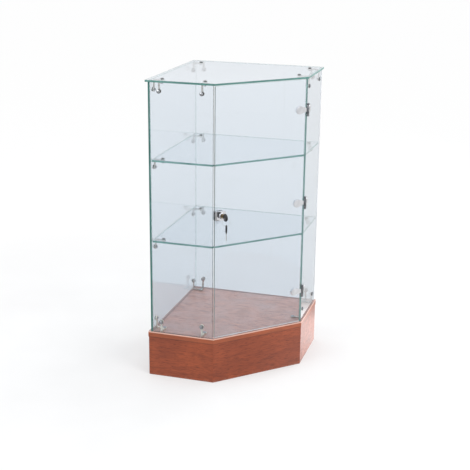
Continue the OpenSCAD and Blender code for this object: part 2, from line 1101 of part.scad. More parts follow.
hinge_door_leaf(mid_hinge_z);  // hinge_door_leaf_mid
hinge_door_leaf(top_hinge_z);  // hinge_door_leaf_top
hinge_pins();
hinge_side_pads();
hinge_door_pads();
hinge_side_screws();
hinge_door_screws();
lock_clamp();
lock_cylinder();
lock_set_screws();
lock_plug();
lock_tongue();
tongue_nut();
key_blade();
key_bow();
key_ring();
spare_key_blade();
spare_key_bow();
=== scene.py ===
# Looks of the corner display case: float glass with polished edges, cherry laminate boards,
# nickel brackets, button-head screws, pin hinges, a clamp-on cam lock and its two keys.
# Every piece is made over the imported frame's own nodes, in metres.
import json
import math

import bmesh
import bpy
from mathutils import Matrix, Vector


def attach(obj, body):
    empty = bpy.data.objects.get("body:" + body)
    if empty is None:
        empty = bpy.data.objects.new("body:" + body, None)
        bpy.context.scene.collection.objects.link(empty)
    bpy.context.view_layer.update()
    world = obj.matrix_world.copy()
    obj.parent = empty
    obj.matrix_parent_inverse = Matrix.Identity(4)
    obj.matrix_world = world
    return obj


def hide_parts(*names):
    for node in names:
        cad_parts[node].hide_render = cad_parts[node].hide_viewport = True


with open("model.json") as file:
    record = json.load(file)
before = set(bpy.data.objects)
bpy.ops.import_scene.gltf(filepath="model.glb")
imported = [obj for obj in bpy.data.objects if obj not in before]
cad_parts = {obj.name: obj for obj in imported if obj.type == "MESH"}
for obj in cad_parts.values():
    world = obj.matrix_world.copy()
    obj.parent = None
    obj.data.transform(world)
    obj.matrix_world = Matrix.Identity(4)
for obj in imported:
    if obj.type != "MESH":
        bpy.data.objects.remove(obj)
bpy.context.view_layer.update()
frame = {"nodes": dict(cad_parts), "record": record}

MM = 0.001
NODES = frame["nodes"]
BODIES = frame["record"]["behaviour"]["bodies"]
BODY_OF = {node: body for body, nodes in BODIES.items() for node in nodes}
SLOT_OF = {row["node"]: row["material_slot"] for row in frame["record"]["subparts"]}

# Merging of a CAD node's triangles: points nearer than WELD are one, faces within FLAT of each
# other are one, and an edge that turns by more than CORNER is a corner
WELD = 0.002 * MM
FLAT = math.radians(0.2)
CORNER = math.radians(30)

# How squarely a face looks along a direction to be square on, and how near equal lengths are
SQUARE_ON = 0.98
ALIKE = 0.1 * MM

# Rounding of the edges, and the film of air between the glass and what bears on it
GLASS_ARRIS = 0.5 * MM
BOARD_EASE = 0.9 * MM
BRACKET_EASE = 1.1 * MM
METAL_EASE = 0.45 * MM
FINE_EASE = 0.25 * MM
AIR_FILM = 0.03 * MM

# The case in plan: the middle of its square footprint, and the slanted front's two directions
MID = Vector((-2 * MM, 7 * MM, 0))
ALONG_DOOR = Vector((1, 1, 0)).normalized()
OUT_OF_DOOR = Vector((1, -1, 0)).normalized()
UP = Vector((0, 0, 1))

# Camera, worked out from the case's corners in the photograph
PHOTO_W = 470
FOCAL_PX = 1049.4
SENSOR_MM = 36
CAMERA_DISTANCE = 3436 * MM
CAMERA_PITCH = math.radians(17.445)
CAMERA_TURN = math.radians(16.489)
CAMERA_ROLL = math.radians(0.635)
AIM_SIDE = -4.5 * MM
AIM_HEIGHT = 429.9 * MM


# Helpers for node trees

def put(tree, kind, settings=None, **sockets):
    """Adds a node, with its settings, and inputs set to a value or fed by another node's socket."""
    node = tree.nodes.new(kind)
    for key, value in (settings or {}).items():
        setattr(node, key, value)
    for key, value in sockets.items():
        plug(tree, node.inputs[key.replace("_", " ")], value)
    return node


def plug(tree, socket, value):
    """Feeds a socket from another one, or sets its own value."""
    if isinstance(value, bpy.types.NodeSocket):
        tree.links.new(value, socket)
    else:
        socket.default_value = value


def maths(tree, operation, first, second=0.0, third=0.0):
    """The result of a Math node."""
    node = put(tree, "ShaderNodeMath", {"operation": operation})
    for socket, value in zip(node.inputs, (first, second, third)):
        plug(tree, socket, value)
    return node.outputs[0]


# Helpers for materials

def new_material(name):
    """A material with an empty tree and its output node."""
    material = bpy.data.materials.new(name)
    material.use_nodes = True
    tree = material.node_tree
    tree.nodes.clear()
    return material, tree, put(tree, "ShaderNodeOutputMaterial")


def mapped(tree, value, low, high, to_low=0.0, to_high=1.0):
    """A value carried from one range to another, held at the ends."""
    node = put(tree, "ShaderNodeMapRange", {"clamp": True}, Value=value)
    ranges = {"From Min": low, "From Max": high, "To Min": to_low, "To Max": to_high}
    for name, number in ranges.items():
        plug(tree, node.inputs[name], number)
    return node.outputs["Result"]


def blended(tree, share, first, second):
    """A mix of two colours."""
    node = put(tree, "ShaderNodeMix", {"data_type": "RGBA"})
    plug(tree, node.inputs["Factor"], share)
    plug(tree, node.inputs[6], first)
    plug(tree, node.inputs[7], second)
    return node.outputs[2]


def spot(tree, scale=(1, 1, 1), turn=0.0):
    """Object coordinates turned about Z, then scaled."""
    here = put(tree, "ShaderNodeTexCoord").outputs["Object"]
    turned_to = put(tree, "ShaderNodeMapping", {"vector_type": "POINT"}, Vector=here)
    turned_to.inputs["Rotation"].default_value = (0, 0, turn)
    sized = put(tree, "ShaderNodeVectorMath", {"operation": "MULTIPLY"})
    plug(tree, sized.inputs[0], turned_to.outputs[0])
    sized.inputs[1].default_value = scale
    return sized.outputs[0]


def height_above_floor(tree):
    """The Z of a point on the object, in metres."""
    here = put(tree, "ShaderNodeTexCoord").outputs["Object"]
    return put(tree, "ShaderNodeSeparateXYZ", Vector=here).outputs["Z"]


def noise(tree, where, scale, detail=4.0, roughness=0.55, distortion=0.0):
    """A noise pattern's value. Places are in metres, so a scale of 60 gives marks some 17 mm apart."""
    node = put(tree, "ShaderNodeTexNoise", Vector=where, Scale=scale, Detail=detail,
               Roughness=roughness, Distortion=distortion)
    return node.outputs[0]


def bump(tree, height, strength, distance):
    """A normal bent by a height."""
    node = put(tree, "ShaderNodeBump", Strength=strength, Distance=distance, Height=height)
    return node.outputs["Normal"]


def mixed(tree, share, first, second):
    """A mix of two shaders."""
    node = put(tree, "ShaderNodeMixShader", Fac=share)
    plug(tree, node.inputs[1], first)
    plug(tree, node.inputs[2], second)
    return node.outputs[0]


# Glass

GLASS_IOR = 1.5

# What a pane leaves of a lamp's light, and the heights between which its tint changes, from painted
# shade at the foot to the lighter head
LAMP_TINT = (0.93, 0.95, 0.96, 1)
SHADED_FOOT_BELOW = 150 * MM
LIT_HEAD_ABOVE = 950 * MM


def lets_lamps_through(tree, shader):
    """A glass shader that passes the lamps' light, tinted, and otherwise shows as it is."""
    path = put(tree, "ShaderNodeLightPath")
    clear = put(tree, "ShaderNodeBsdfTransparent", Color=LAMP_TINT)
    return mixed(tree, path.outputs["Is Shadow Ray"], shader, clear.outputs[0])


def float_glass(name, lit_head_tint, shaded_foot_tint):
    """Float glass, painted a little greyer towards the foot as shade, with the faint haze that hands
    leave on it.
    """
    material, tree, output = new_material(name)
    haze = noise(tree, spot(tree), 9.0, 5.0, 0.6)
    # Painted shade: the tint darkens from the head down to the foot
    rise = mapped(tree, height_above_floor(tree), SHADED_FOOT_BELOW, LIT_HEAD_ABOVE)
    shader = put(tree, "ShaderNodeBsdfPrincipled", IOR=GLASS_IOR,
                 Base_Color=blended(tree, rise, shaded_foot_tint, lit_head_tint),
                 Roughness=mapped(tree, haze, 0.45, 0.75, 0.0, 0.03))
    shader.inputs["Transmission Weight"].default_value = 1
    plug(tree, output.inputs["Surface"], lets_lamps_through(tree, shader.outputs[0]))
    return material


def glass_edge(name, deep, light, through):
    """The ground edge of float glass, deeper and lighter in places, with the marks of the stone."""
    material, tree, output = new_material(name)
    streaks = noise(tree, spot(tree, (1, 1, 0.12)), 60.0, 6.0, 0.65)
    depth = noise(tree, spot(tree), 14.0, 3.0)
    shader = put(tree, "ShaderNodeBsdfPrincipled", IOR=GLASS_IOR,
                 Base_Color=blended(tree, mapped(tree, depth, 0.3, 0.7), deep, light),
                 Roughness=mapped(tree, streaks, 0.3, 0.8, 0.1, 0.3))
    shader.inputs["Transmission Weight"].default_value = through
    plug(tree, output.inputs["Surface"], shader.outputs[0])
    return material


# The wall glass is painted darker towards its foot, as shade where the sheet gets less light
WALL_GLASS = float_glass("wall_glass", (0.885, 0.915, 0.945, 1), (0.785, 0.825, 0.865, 1))
LEVEL_GLASS = float_glass("shelf_glass", (0.91, 0.94, 0.965, 1), (0.91, 0.94, 0.96, 1))
# Copies of one green edge, darker and lighter, as painted shade and painted light
SHADED_EDGE = glass_edge("shaded_green_edge", (0.040, 0.18, 0.15, 1), (0.13, 0.34, 0.31, 1), 0.3)
FRESH_EDGE = glass_edge("fresh_green_edge", (0.13, 0.35, 0.31, 1), (0.27, 0.52, 0.48, 1), 0.35)
LIT_EDGE = glass_edge("lit_green_edge", (0.26, 0.47, 0.44, 1), (0.44, 0.64, 0.62, 1), 0.45)
CLEAR_END = glass_edge("see_through_end", (0.64, 0.73, 0.74, 1), (0.72, 0.80, 0.81, 1), 0.9)
SHUT_END = glass_edge("ground_grey_end", (0.34, 0.42, 0.41, 1), (0.46, 0.54, 0.53, 1), 0.35)
# Painted reflection: the back ends of green glass are made pale, as if showing the bright room
PAINTED_PALE_END = glass_edge("painted_pale_back_end", (0.80, 0.83, 0.87, 1), (0.90, 0.92, 0.95, 1), 0.15)
# Painted highlight: the lower edge is made pale
HIGHLIGHT_FOOT_EDGE = glass_edge("painted_highlight_foot_edge", (0.80, 0.84, 0.83, 1), (0.92, 0.94, 0.93, 1), 0.2)

# A pane's materials in order: its broad faces, its edges, one end unlike them, and its lower edge,
# painted bright as a highlight
CLEAR, EDGE, END, FOOT = range(4)


# Cherry laminate

# Colours along the grain, of the painted highlight on the arris and of the scuffed foot
RED_WOOD = (0.430, 0.102, 0.044, 1)
DEEP_RED_WOOD = (0.345, 0.082, 0.039, 1)
BROWN_WOOD = (0.200, 0.052, 0.030, 1)
DARK_WOOD = (0.100, 0.030, 0.020, 1)
ORANGE_WOOD = (0.560, 0.170, 0.075, 1)
ARRIS_HIGHLIGHT = (0.950, 0.600, 0.480, 1)
SCUFFED_WOOD = (0.420, 0.240, 0.180, 1)

# Colours of the board's upper face: greyer and paler than the plinth's wood, a painted share of the
# reflected veil that its gloss shows
ROSE_FACE = (0.520, 0.235, 0.178, 1)
DEEP_ROSE_FACE = (0.325, 0.160, 0.135, 1)
CLOUDED_FACE = (0.440, 0.290, 0.265, 1)
FINE_DARK_FACE = (0.110, 0.056, 0.048, 1)

# Heights above the floor: tops of board and plinth, the painted highlight along the arris, and the
# scuffs' upper end
BOARD_TOP = 150 * MM
PLINTH_TOP = 132 * MM
HIGHLIGHT_STARTS = BOARD_TOP - 3.6 * MM
HIGHLIGHT_FULL = BOARD_TOP - 2.6 * MM
SCUFFS_END = 10 * MM

# Painted shade in the joint of board and plinth: half its full width and half its faded width
JOINT_SHADE_FULL = 0.4 * MM
JOINT_SHADE_FADED = 1.8 * MM

# How deep the pores of the grain look
PORE_DEPTH = 0.3 * MM


def cherry_laminate(name, grain_turn, sheen=0.3, orange=0.0, coat=0.0):
    """Cherry wood-grain laminate. Its grain runs along grain_turn, measured about Z from +X."""
    material, tree, output = new_material(name)
    height = height_above_floor(tree)
    sway = noise(tree, spot(tree), 9.0, 3.0, 0.5)
    figure = noise(tree, spot(tree, (9, 62, 62), -grain_turn), 1.0, 6.0, 0.62, 1.0)
    dashes = noise(tree, spot(tree, (42, 360, 360), -grain_turn), 1.0, 4.0, 0.65, 0.5)
    pores = noise(tree, spot(tree, (90, 900, 900), -grain_turn), 1.0, 3.0, 0.7)
    wood = blended(tree, mapped(tree, sway, 0.38, 0.62), RED_WOOD, DEEP_RED_WOOD)
    wood = blended(tree, mapped(tree, figure, 0.44, 0.70, 0, 0.62), wood, BROWN_WOOD)
    wood = blended(tree, mapped(tree, dashes, 0.50, 0.66, 0, 0.66), wood, DARK_WOOD)
    wood = blended(tree, mapped(tree, pores, 0.55, 0.70, 0, 0.40), wood, DARK_WOOD)
    wood = blended(tree, orange, wood, ORANGE_WOOD)
    # Painted highlight: a pale peach line just below the board's top arris
    wood = blended(tree, mapped(tree, height, HIGHLIGHT_STARTS, HIGHLIGHT_FULL, 0, 0.9), wood, ARRIS_HIGHLIGHT)
    # Painted shade: the wood darkens in the joint under the board
    from_shaded_joint = maths(tree, "ABSOLUTE", maths(tree, "SUBTRACT", height, PLINTH_TOP))
    wood = blended(tree, mapped(tree, from_shaded_joint, JOINT_SHADE_FULL, JOINT_SHADE_FADED, 0.7, 0.0), wood, DARK_WOOD)
    rubbed = noise(tree, spot(tree), 55.0, 4.0, 0.7)
    low = mapped(tree, height, 0.0, SCUFFS_END, 0.55, 0.0)
    scuffs = maths(tree, "MULTIPLY", low, mapped(tree, rubbed, 0.45, 0.65))
    wood = blended(tree, scuffs, wood, SCUFFED_WOOD)
    shader = put(tree, "ShaderNodeBsdfPrincipled", Base_Color=wood,
                 Roughness=mapped(tree, dashes, 0.35, 0.7, sheen, sheen + 0.12),
                 Normal=bump(tree, pores, 0.10, PORE_DEPTH))
    shader.inputs["Coat Weight"].default_value = coat
    shader.inputs["Coat Roughness"].default_value = 0.16
    plug(tree, output.inputs["Surface"], shader.outputs[0])
    return material


def board_face(name):
    """The board's upper face under the glass: mottled, glossy at a low angle, and painted greyer and
    paler as part of the reflected veil.
    """
    material, tree, output = new_material(name)
    mottle = noise(tree, spot(tree, (24, 60, 60)), 1.0, 6.0, 0.7, 0.8)
    cloud = noise(tree, spot(tree), 11.0, 4.0, 0.6)
    fine = noise(tree, spot(tree, (60, 300, 300)), 1.0, 3.0, 0.7)
    # Painted reflection: greyer, paler colours stand in for part of the veil, and the coat gives the
    # rest
    wood = blended(tree, mapped(tree, mottle, 0.38, 0.62), ROSE_FACE, DEEP_ROSE_FACE)
    wood = blended(tree, mapped(tree, cloud, 0.40, 0.66, 0, 0.6), wood, CLOUDED_FACE)
    wood = blended(tree, mapped(tree, fine, 0.50, 0.70, 0, 0.5), wood, FINE_DARK_FACE)
    shader = put(tree, "ShaderNodeBsdfPrincipled", Base_Color=wood,
                 Roughness=mapped(tree, mottle, 0.35, 0.7, 0.30, 0.46),
                 Normal=bump(tree, fine, 0.08, PORE_DEPTH))
    shader.inputs["Coat Weight"].default_value = 1
    shader.inputs["Coat Roughness"].default_value = 0.22
    plug(tree, output.inputs["Surface"], shader.outputs[0])
    return material


# Metal, rubber and plastic

# How deep polishing marks and a moulded skin look, and how many grains a skin has to a metre
POLISH_DEPTH = 0.05 * MM
SKIN_DEPTH = 0.08 * MM
RUBBER_GRAIN = 2500.0
PLASTIC_GRAIN = 3200.0


def plated(name, light, dark, rough):
    """Plated metal: a cloudy tint, fine polishing marks and a little wear in its shine."""
    material, tree, output = new_material(name)
    cloud = noise(tree, spot(tree), 60.0, 4.0)
    marks = noise(tree, spot(tree, (1, 1, 9)), 900.0, 3.0, 0.7)
    shader = put(tree, "ShaderNodeBsdfPrincipled",
                 Base_Color=blended(tree, mapped(tree, cloud, 0.35, 0.65), light, dark),
                 Roughness=mapped(tree, marks, 0.3, 0.75, rough * 0.6, rough * 1.5),
                 Normal=bump(tree, marks, 0.05, POLISH_DEPTH))
    shader.inputs["Metallic"].default_value = 1
    plug(tree, output.inputs["Surface"], shader.outputs[0])
    return material


def moulded(name, light, dark, rough, grain):
    """Moulded plastic or rubber with a fine grain in its skin."""
    material, tree, output = new_material(name)
    skin = noise(tree, spot(tree), grain, 3.0, 0.6)
    cloud = noise(tree, spot(tree), 90.0, 2.0)
    shader = put(tree, "ShaderNodeBsdfPrincipled",
                 Base_Color=blended(tree, mapped(tree, cloud, 0.3, 0.7), light, dark),
                 Roughness=mapped(tree, skin, 0.3, 0.7, rough * 0.8, rough * 1.25),
                 Normal=bump(tree, skin, 0.15, SKIN_DEPTH))
    plug(tree, output.inputs["Surface"], shader.outputs[0])
    return material


FINISH = {
    "bright_nickel": plated("bright_nickel", (0.66, 0.64, 0.60, 1), (0.50, 0.48, 0.45, 1), 0.22),
    "chrome": plated("polished_chrome", (0.84, 0.85, 0.88, 1), (0.72, 0.73, 0.76, 1), 0.10),
    "screw_steel": plated("zinc_plated_steel", (0.62, 0.635, 0.66, 1), (0.44, 0.45, 0.47, 1), 0.26),
    "brass": plated("satin_brass", (0.50, 0.39, 0.24, 1), (0.35, 0.27, 0.17, 1), 0.28),
    "key_steel": plated("nickel_silver", (0.66, 0.63, 0.56, 1), (0.50, 0.48, 0.44, 1), 0.22),
    "ring_steel": plated("spring_steel", (0.72, 0.72, 0.73, 1), (0.55, 0.55, 0.56, 1), 0.16),
    "washer_rubber": moulded(
        "washer_rubber", (0.05, 0.05, 0.055, 1), (0.03, 0.03, 0.032, 1), 0.7, RUBBER_GRAIN),
    "black_plastic": moulded(
        "black_plastic", (0.018, 0.019, 0.022, 1), (0.010, 0.010, 0.012, 1), 0.34, PLASTIC_GRAIN),
}

# Lit and shaded copies for a few pieces: painted shade on the screws in top and shelves, painted light
# on the two front brackets, and painted shade on the hinge barrels
SHADED_STEEL = plated("shaded_screw_steel", (0.26, 0.25, 0.25, 1), (0.15, 0.145, 0.145, 1), 0.26)
LIT_NICKEL = plated("lit_satin_nickel", (0.99, 0.93, 0.81, 1), (0.92, 0.86, 0.75, 1), 0.50)
SHADED_CHROME = plated("shaded_barrel_chrome", (0.44, 0.45, 0.47, 1), (0.20, 0.21, 0.22, 1), 0.14)


# Making of pieces over CAD nodes

def add_object(name, data):
    """A new object, put into the scene."""
    added = bpy.data.objects.new(name, data)
    bpy.context.scene.collection.objects.link(added)
    return added


def add_piece(name, mesh, node):
    """A finished piece that stands for a CAD node, whose node it hides, and rides on its body."""
    piece = add_object(name, mesh)
    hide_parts(node)
    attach(piece, BODY_OF[node])
    return piece


def whole_faces(node):
    """A CAD node's shape with its triangles merged into whole faces. Only curved faces are smooth."""
    shape = bmesh.new()
    shape.from_mesh(NODES[node].data)
    bmesh.ops.remove_doubles(shape, verts=shape.verts, dist=WELD)
    bmesh.ops.dissolve_limit(shape, angle_limit=FLAT, verts=shape.verts, edges=shape.edges)
    bmesh.ops.recalc_face_normals(shape, faces=shape.faces)
    for face in shape.faces:
        face.smooth = any(FLAT < edge.calc_face_angle(0) < CORNER for edge in face.edges)
    return shape


def to_mesh(name, shape, *materials):
    """A mesh with its materials, made from a shape, which is then freed."""
    mesh = bpy.data.meshes.new(name)
    shape.to_mesh(mesh)
    shape.free()
    for material in materials:
        mesh.materials.append(material)
    return mesh


def ease(piece, width, segments=2, edge_material=-1):
    """Rounds a piece's corners."""
    bevel = piece.modifiers.new("eased edges", "BEVEL")
    bevel.width = width
    bevel.segments = segments
    bevel.limit_method = "ANGLE"
    bevel.angle_limit = CORNER
    bevel.miter_outer = "MITER_ARC"
    bevel.material = edge_material


# Panes

PANES = {
    "wall_back_left": Vector((1, 0, 0)),
    "wall_back_right": Vector((0, 1, 0)),
    "wall_front_left": Vector((0, 1, 0)),
    "wall_right": Vector((1, 0, 0)),
    "top_glass": UP,
    "lower_shelf": UP,
    "upper_shelf": UP,
    "door_glass": OUT_OF_DOOR,
}

# Green of a pane's edges, which is FRESH_EDGE where none is given: the left panes take a darker copy as
# painted shade, the right panes and door a lighter copy as painted light
EDGES = {
    "wall_back_left": SHADED_EDGE,
    "wall_front_left": SHADED_EDGE,
    "wall_back_right": LIT_EDGE,
    "wall_right": LIT_EDGE,
    "door_glass": LIT_EDGE,
}

# The edge unlike a pane's others: the way it faces, and its tone: the two back ends are painted pale as
# a reflection. Where none is given, it's the upper edge
UPPER_END = (UP, FRESH_EDGE)
ENDS = {
    "wall_front_left": (Vector((1, 0, 0)), CLEAR_END),
    "wall_back_right": (Vector((1, 0, 0)), PAINTED_PALE_END),
    "wall_right": (Vector((0, 1, 0)), PAINTED_PALE_END),
    "door_glass": (-ALONG_DOOR, SHUT_END),
}


def make_pane(node, across):
    """A sheet of glass: clear faces, green edges, a lower edge painted bright as a highlight, and one
    end of its own.
    """
    shape = whole_faces(node)
    facing, end = ENDS.get(node, UPPER_END)
    for face in shape.faces:
        if abs(face.normal.dot(across)) > SQUARE_ON:
            face.material_index = CLEAR
        elif face.normal.dot(facing) > SQUARE_ON:
            face.material_index = END
        else:
            face.material_index = FOOT if face.normal.z < -SQUARE_ON else EDGE
    middle = sum(vertex.co.dot(across) for vertex in shape.verts) / len(shape.verts)
    for vertex in shape.verts:
        vertex.co -= across * math.copysign(AIR_FILM, vertex.co.dot(across) - middle)
    sheet = LEVEL_GLASS if across == UP else WALL_GLASS
    mesh = to_mesh("pane_" + node, shape, sheet, EDGES.get(node, FRESH_EDGE), end, HIGHLIGHT_FOOT_EDGE)
    ease(add_piece("pane_" + node, mesh, node), GLASS_ARRIS)


# Boards

BOARD_GRAIN = {
    "plinth_front_left": 0.0,
    "plinth_door_side": math.pi / 4,
    "plinth_right": math.pi / 2,
    "plinth_back_right": 0.0,
    "plinth_back_left": math.pi / 2,
}

# The floor board's materials in order
TOP, FRONT_BAND, DOOR_BAND, SIDE_BAND, ARRIS = range(5)


def make_plinth_board(node, grain_turn):
    """A mitred plinth board, grained along its length."""
    mesh = to_mesh("board_" + node, whole_faces(node), cherry_laminate("cherry_" + node, grain_turn))
    ease(add_piece("board_" + node, mesh, node), BOARD_EASE)


def make_floor_board():
    """The board under the glass, with its edges banded and a highlight painted pale along their arris.
    """
    shape = whole_faces("floor_board")
    for face in shape.faces:
        if abs(face.normal.z) > SQUARE_ON:
            face.material_index = TOP
        elif face.normal.dot(OUT_OF_DOOR) > SQUARE_ON:
            face.material_index = DOOR_BAND
        elif abs(face.normal.x) > SQUARE_ON:
            face.material_index = SIDE_BAND
        else:
            face.material_index = FRONT_BAND
    mesh = to_mesh(
        "board_floor", shape,
        board_face("cherry_floor_board"),
        cherry_laminate("cherry_band_along_front", 0.0, orange=0.3),
        cherry_laminate("cherry_band_along_door", math.pi / 4, orange=0.3),
        cherry_laminate("cherry_band_along_side", math.pi / 2, orange=0.3),
        # The rounded arris is painted light orange as a highlight
        cherry_laminate("cherry_band_arris_highlight", 0.0, orange=0.9, coat=1.0),
    )
    ease(add_piece("board_floor", mesh, "floor_board"), BOARD_EASE, edge_material=ARRIS)


# Fasteners: an outline turned by Geometry Nodes and set wherever the CAD has a screw, washer or nut

SCREWS = (
    "wall_screws", "base_screws", "shelf_screws", "top_screws",
    "hinge_side_screws", "hinge_door_screws",
)
# Screws painted darker as shade
SHADED_SCREWS = ("shelf_screws", "top_screws")
NUTS = ("wall_nuts", "shelf_nuts", "top_nuts")
WASHERS = ("wall_washers",)
HEAD_RADIUS = 5.5 * MM
HEAD_HEIGHT = 2.8 * MM
SHANK_RADIUS = 2.0 * MM
SOCKET_HALF_WIDTH = 1.5 * MM
SOCKET_DEPTH = 1.5 * MM
NUT_HALF_WIDTH = 3.5 * MM
WASHER_RADIUS = 6.5 * MM
BORE_RADIUS = 2.1 * MM

# Where the outlines turn, as shares of a fastener's own sizes
TIP_CHAMFER = 0.25
HEAD_UNDERSIDE = 0.97
RIM_STARTS = -0.06
RIM_ENDS = -0.44
DOME_RADII = (0.97, 0.86, 0.72, 0.56)
SOCKET_MOUTH = 1.18
SOCKET_LEAD = 0.08
DRILL_POINT = 0.35
WASHER_EASE = 0.3
NUT_CHAMFER = 0.16
NUT_COUNTERSINK = 1.12

# Steps round a turned outline, a hexagon's side, and what each corner of an outline holds:
# its radius, its height, and 1 where it is a hexagon and not a circle
STEPS_ROUND = 30
HEXAGON_SIDE = math.tau / 6
RADIUS, HEIGHT, HEXAGON = range(3)


def sized_tree(name, *sizes):
    """A geometry tree: places go in, fasteners come out, and each size has an input of its own."""
    tree = bpy.data.node_groups.new(name, "GeometryNodeTree")
    tree.interface.new_socket("Fasteners", in_out="OUTPUT", socket_type="NodeSocketGeometry")
    tree.interface.new_socket("Places", in_out="INPUT", socket_type="NodeSocketGeometry")
    for size in sizes:
        tree.interface.new_socket(size, in_out="INPUT", socket_type="NodeSocketFloat")
    tree.interface.new_socket("Finish", in_out="INPUT", socket_type="NodeSocketMaterial")
    return tree, tree.nodes.new("NodeGroupInput").outputs


def from_outline(tree, outline, step, part):
    """A radius, height or hexagon share, picked from the outline by the step that a point lies on."""
    switch = put(tree, "GeometryNodeIndexSwitch", {"data_type": "FLOAT"}, Index=step)
    while len(switch.index_switch_items) < len(outline):
        switch.index_switch_items.new()
    for socket, corner in zip(list(switch.inputs)[1:], outline):
        plug(tree, socket, corner[part])
    return switch.outputs[0]


def turn_outline(tree, given, outline):
    """Turns an outline about Z and sets a copy at every place, along its axis."""
    last = len(outline) - 1
    sheet = put(tree, "GeometryNodeMeshGrid", Size_X=1.0, Size_Y=1.0,
                Vertices_X=len(outline), Vertices_Y=STEPS_ROUND + 1)
    at = put(tree, "ShaderNodeSeparateXYZ", Vector=put(tree, "GeometryNodeInputPosition").outputs[0])
    along = maths(tree, "MULTIPLY", maths(tree, "ADD", at.outputs["X"], 0.5), float(last))
    step = put(tree, "FunctionNodeFloatToInt", {"rounding_mode": "ROUND"}, Float=along).outputs[0]
    angle = maths(tree, "MULTIPLY", at.outputs["Y"], math.tau)
    along_side = maths(tree, "FLOORED_MODULO", angle, HEXAGON_SIDE)
    from_middle = maths(tree, "COSINE", maths(tree, "SUBTRACT", along_side, HEXAGON_SIDE / 2))
    stretch = maths(tree, "SUBTRACT", maths(tree, "DIVIDE", 1.0, from_middle), 1.0)
    stretch = maths(tree, "MULTIPLY_ADD", from_outline(tree, outline, step, HEXAGON), stretch, 1.0)
    reach = maths(tree, "MULTIPLY", from_outline(tree, outline, step, RADIUS), stretch)
    point = put(tree, "ShaderNodeCombineXYZ",
                X=maths(tree, "MULTIPLY", reach, maths(tree, "COSINE", angle)),
                Y=maths(tree, "MULTIPLY", reach, maths(tree, "SINE", angle)),
                Z=from_outline(tree, outline, step, HEIGHT))
    shaped = put(tree, "GeometryNodeSetPosition",
                 Geometry=sheet.outputs["Mesh"], Position=point.outputs[0])
    closed = put(tree, "GeometryNodeMergeByDistance", Geometry=shaped.outputs[0], Distance=WELD)
    bend = put(tree, "GeometryNodeInputMeshEdgeAngle").outputs["Unsigned Angle"]
    corner = put(tree, "FunctionNodeCompare", {"data_type": "FLOAT", "operation": "GREATER_THAN"},
                 A=bend, B=CORNER)
    smooth = put(tree, "GeometryNodeSetShadeSmooth", {"domain": "FACE"}, Geometry=closed.outputs[0])
    crisp = put(tree, "GeometryNodeSetShadeSmooth", {"domain": "EDGE"}, Geometry=smooth.outputs[0],
                Selection=corner.outputs[0], Shade_Smooth=False)
    axis = put(tree, "GeometryNodeInputNamedAttribute", {"data_type": "FLOAT_VECTOR"}, Name="axis")
    facing = put(tree, "FunctionNodeAlignRotationToVector", {"axis": "Z"}, Vector=axis.outputs[0])
    copies = put(tree, "GeometryNodeInstanceOnPoints", Points=given["Places"],
                 Instance=crisp.outputs[0], Rotation=facing.outputs[0])
    real = put(tree, "GeometryNodeRealizeInstances", Geometry=copies.outputs[0])
    coated = put(tree, "GeometryNodeSetMaterial", Geometry=real.outputs[0], Material=given["Finish"])
    put(tree, "NodeGroupOutput", Fasteners=coated.outputs[0])
    return tree


def squared(tree, value):
    """A value times itself."""
    return maths(tree, "MULTIPLY", value, value)


def screw_tree():
    """A button-head screw with a hexagon socket. Its head lies below its place and its shank above."""
    tree, given = sized_tree("button_head_screw", "Head Radius", "Head Height", "Shank Radius",
                             "Shank Length", "Socket Half Width", "Socket Depth")
    head, tall = given["Head Radius"], given["Head Height"]
    shank, long = given["Shank Radius"], given["Shank Length"]
    socket, deep = given["Socket Half Width"], given["Socket Depth"]
    rise = maths(tree, "MULTIPLY", tall, 0.5)
    squares = maths(tree, "ADD", squared(tree, head), squared(tree, rise))
    ball = maths(tree, "DIVIDE", squares, maths(tree, "MULTIPLY", rise, 2.0))

    def on_dome(radius):
        """The height of the head's dome at a radius."""
        inner = maths(tree, "SUBTRACT", squared(tree, ball), squared(tree, radius))
        return maths(tree, "SUBTRACT", maths(tree, "SUBTRACT", ball, maths(tree, "SQRT", inner)), tall)

    chamfer = maths(tree, "MULTIPLY", shank, TIP_CHAMFER)
    mouth = maths(tree, "MULTIPLY", socket, SOCKET_MOUTH)
    floor = maths(tree, "ADD", on_dome(socket), deep)
    outline = [
        (0.0, long, 0.0),
        (maths(tree, "SUBTRACT", shank, chamfer), long, 0.0),
        (shank, maths(tree, "SUBTRACT", long, chamfer), 0.0),
        (shank, 0.0, 0.0),
        (maths(tree, "MULTIPLY", head, HEAD_UNDERSIDE), 0.0, 0.0),
        (head, maths(tree, "MULTIPLY", tall, RIM_STARTS), 0.0),
        (head, maths(tree, "MULTIPLY", tall, RIM_ENDS), 0.0),
    ]
    for share in DOME_RADII:
        radius = maths(tree, "MULTIPLY", head, share)
        outline.append((radius, on_dome(radius), 0.0))
    outline += [
        (mouth, on_dome(mouth), 0.0),
        (socket, maths(tree, "MULTIPLY_ADD", deep, SOCKET_LEAD, on_dome(socket)), 1.0),
        (socket, floor, 1.0),
        (0.0, maths(tree, "MULTIPLY_ADD", socket, DRILL_POINT, floor), 0.0),
    ]
    return turn_outline(tree, given, outline)


def washer_tree():
    """A flat washer with softened rims, standing on its place."""
    tree, given = sized_tree("soft_washer", "Outer Radius", "Bore Radius", "Thickness")
    outer, bore, thick = given["Outer Radius"], given["Bore Radius"], given["Thickness"]
    soft = maths(tree, "MULTIPLY", thick, WASHER_EASE)
    inset = maths(tree, "SUBTRACT", outer, soft)
    return turn_outline(tree, given, [
        (bore, thick, 0.0),
        (inset, thick, 0.0),
        (outer, maths(tree, "SUBTRACT", thick, soft), 0.0),
        (outer, soft, 0.0),
        (inset, 0.0, 0.0),
        (bore, 0.0, 0.0),
        (bore, thick, 0.0),
    ])


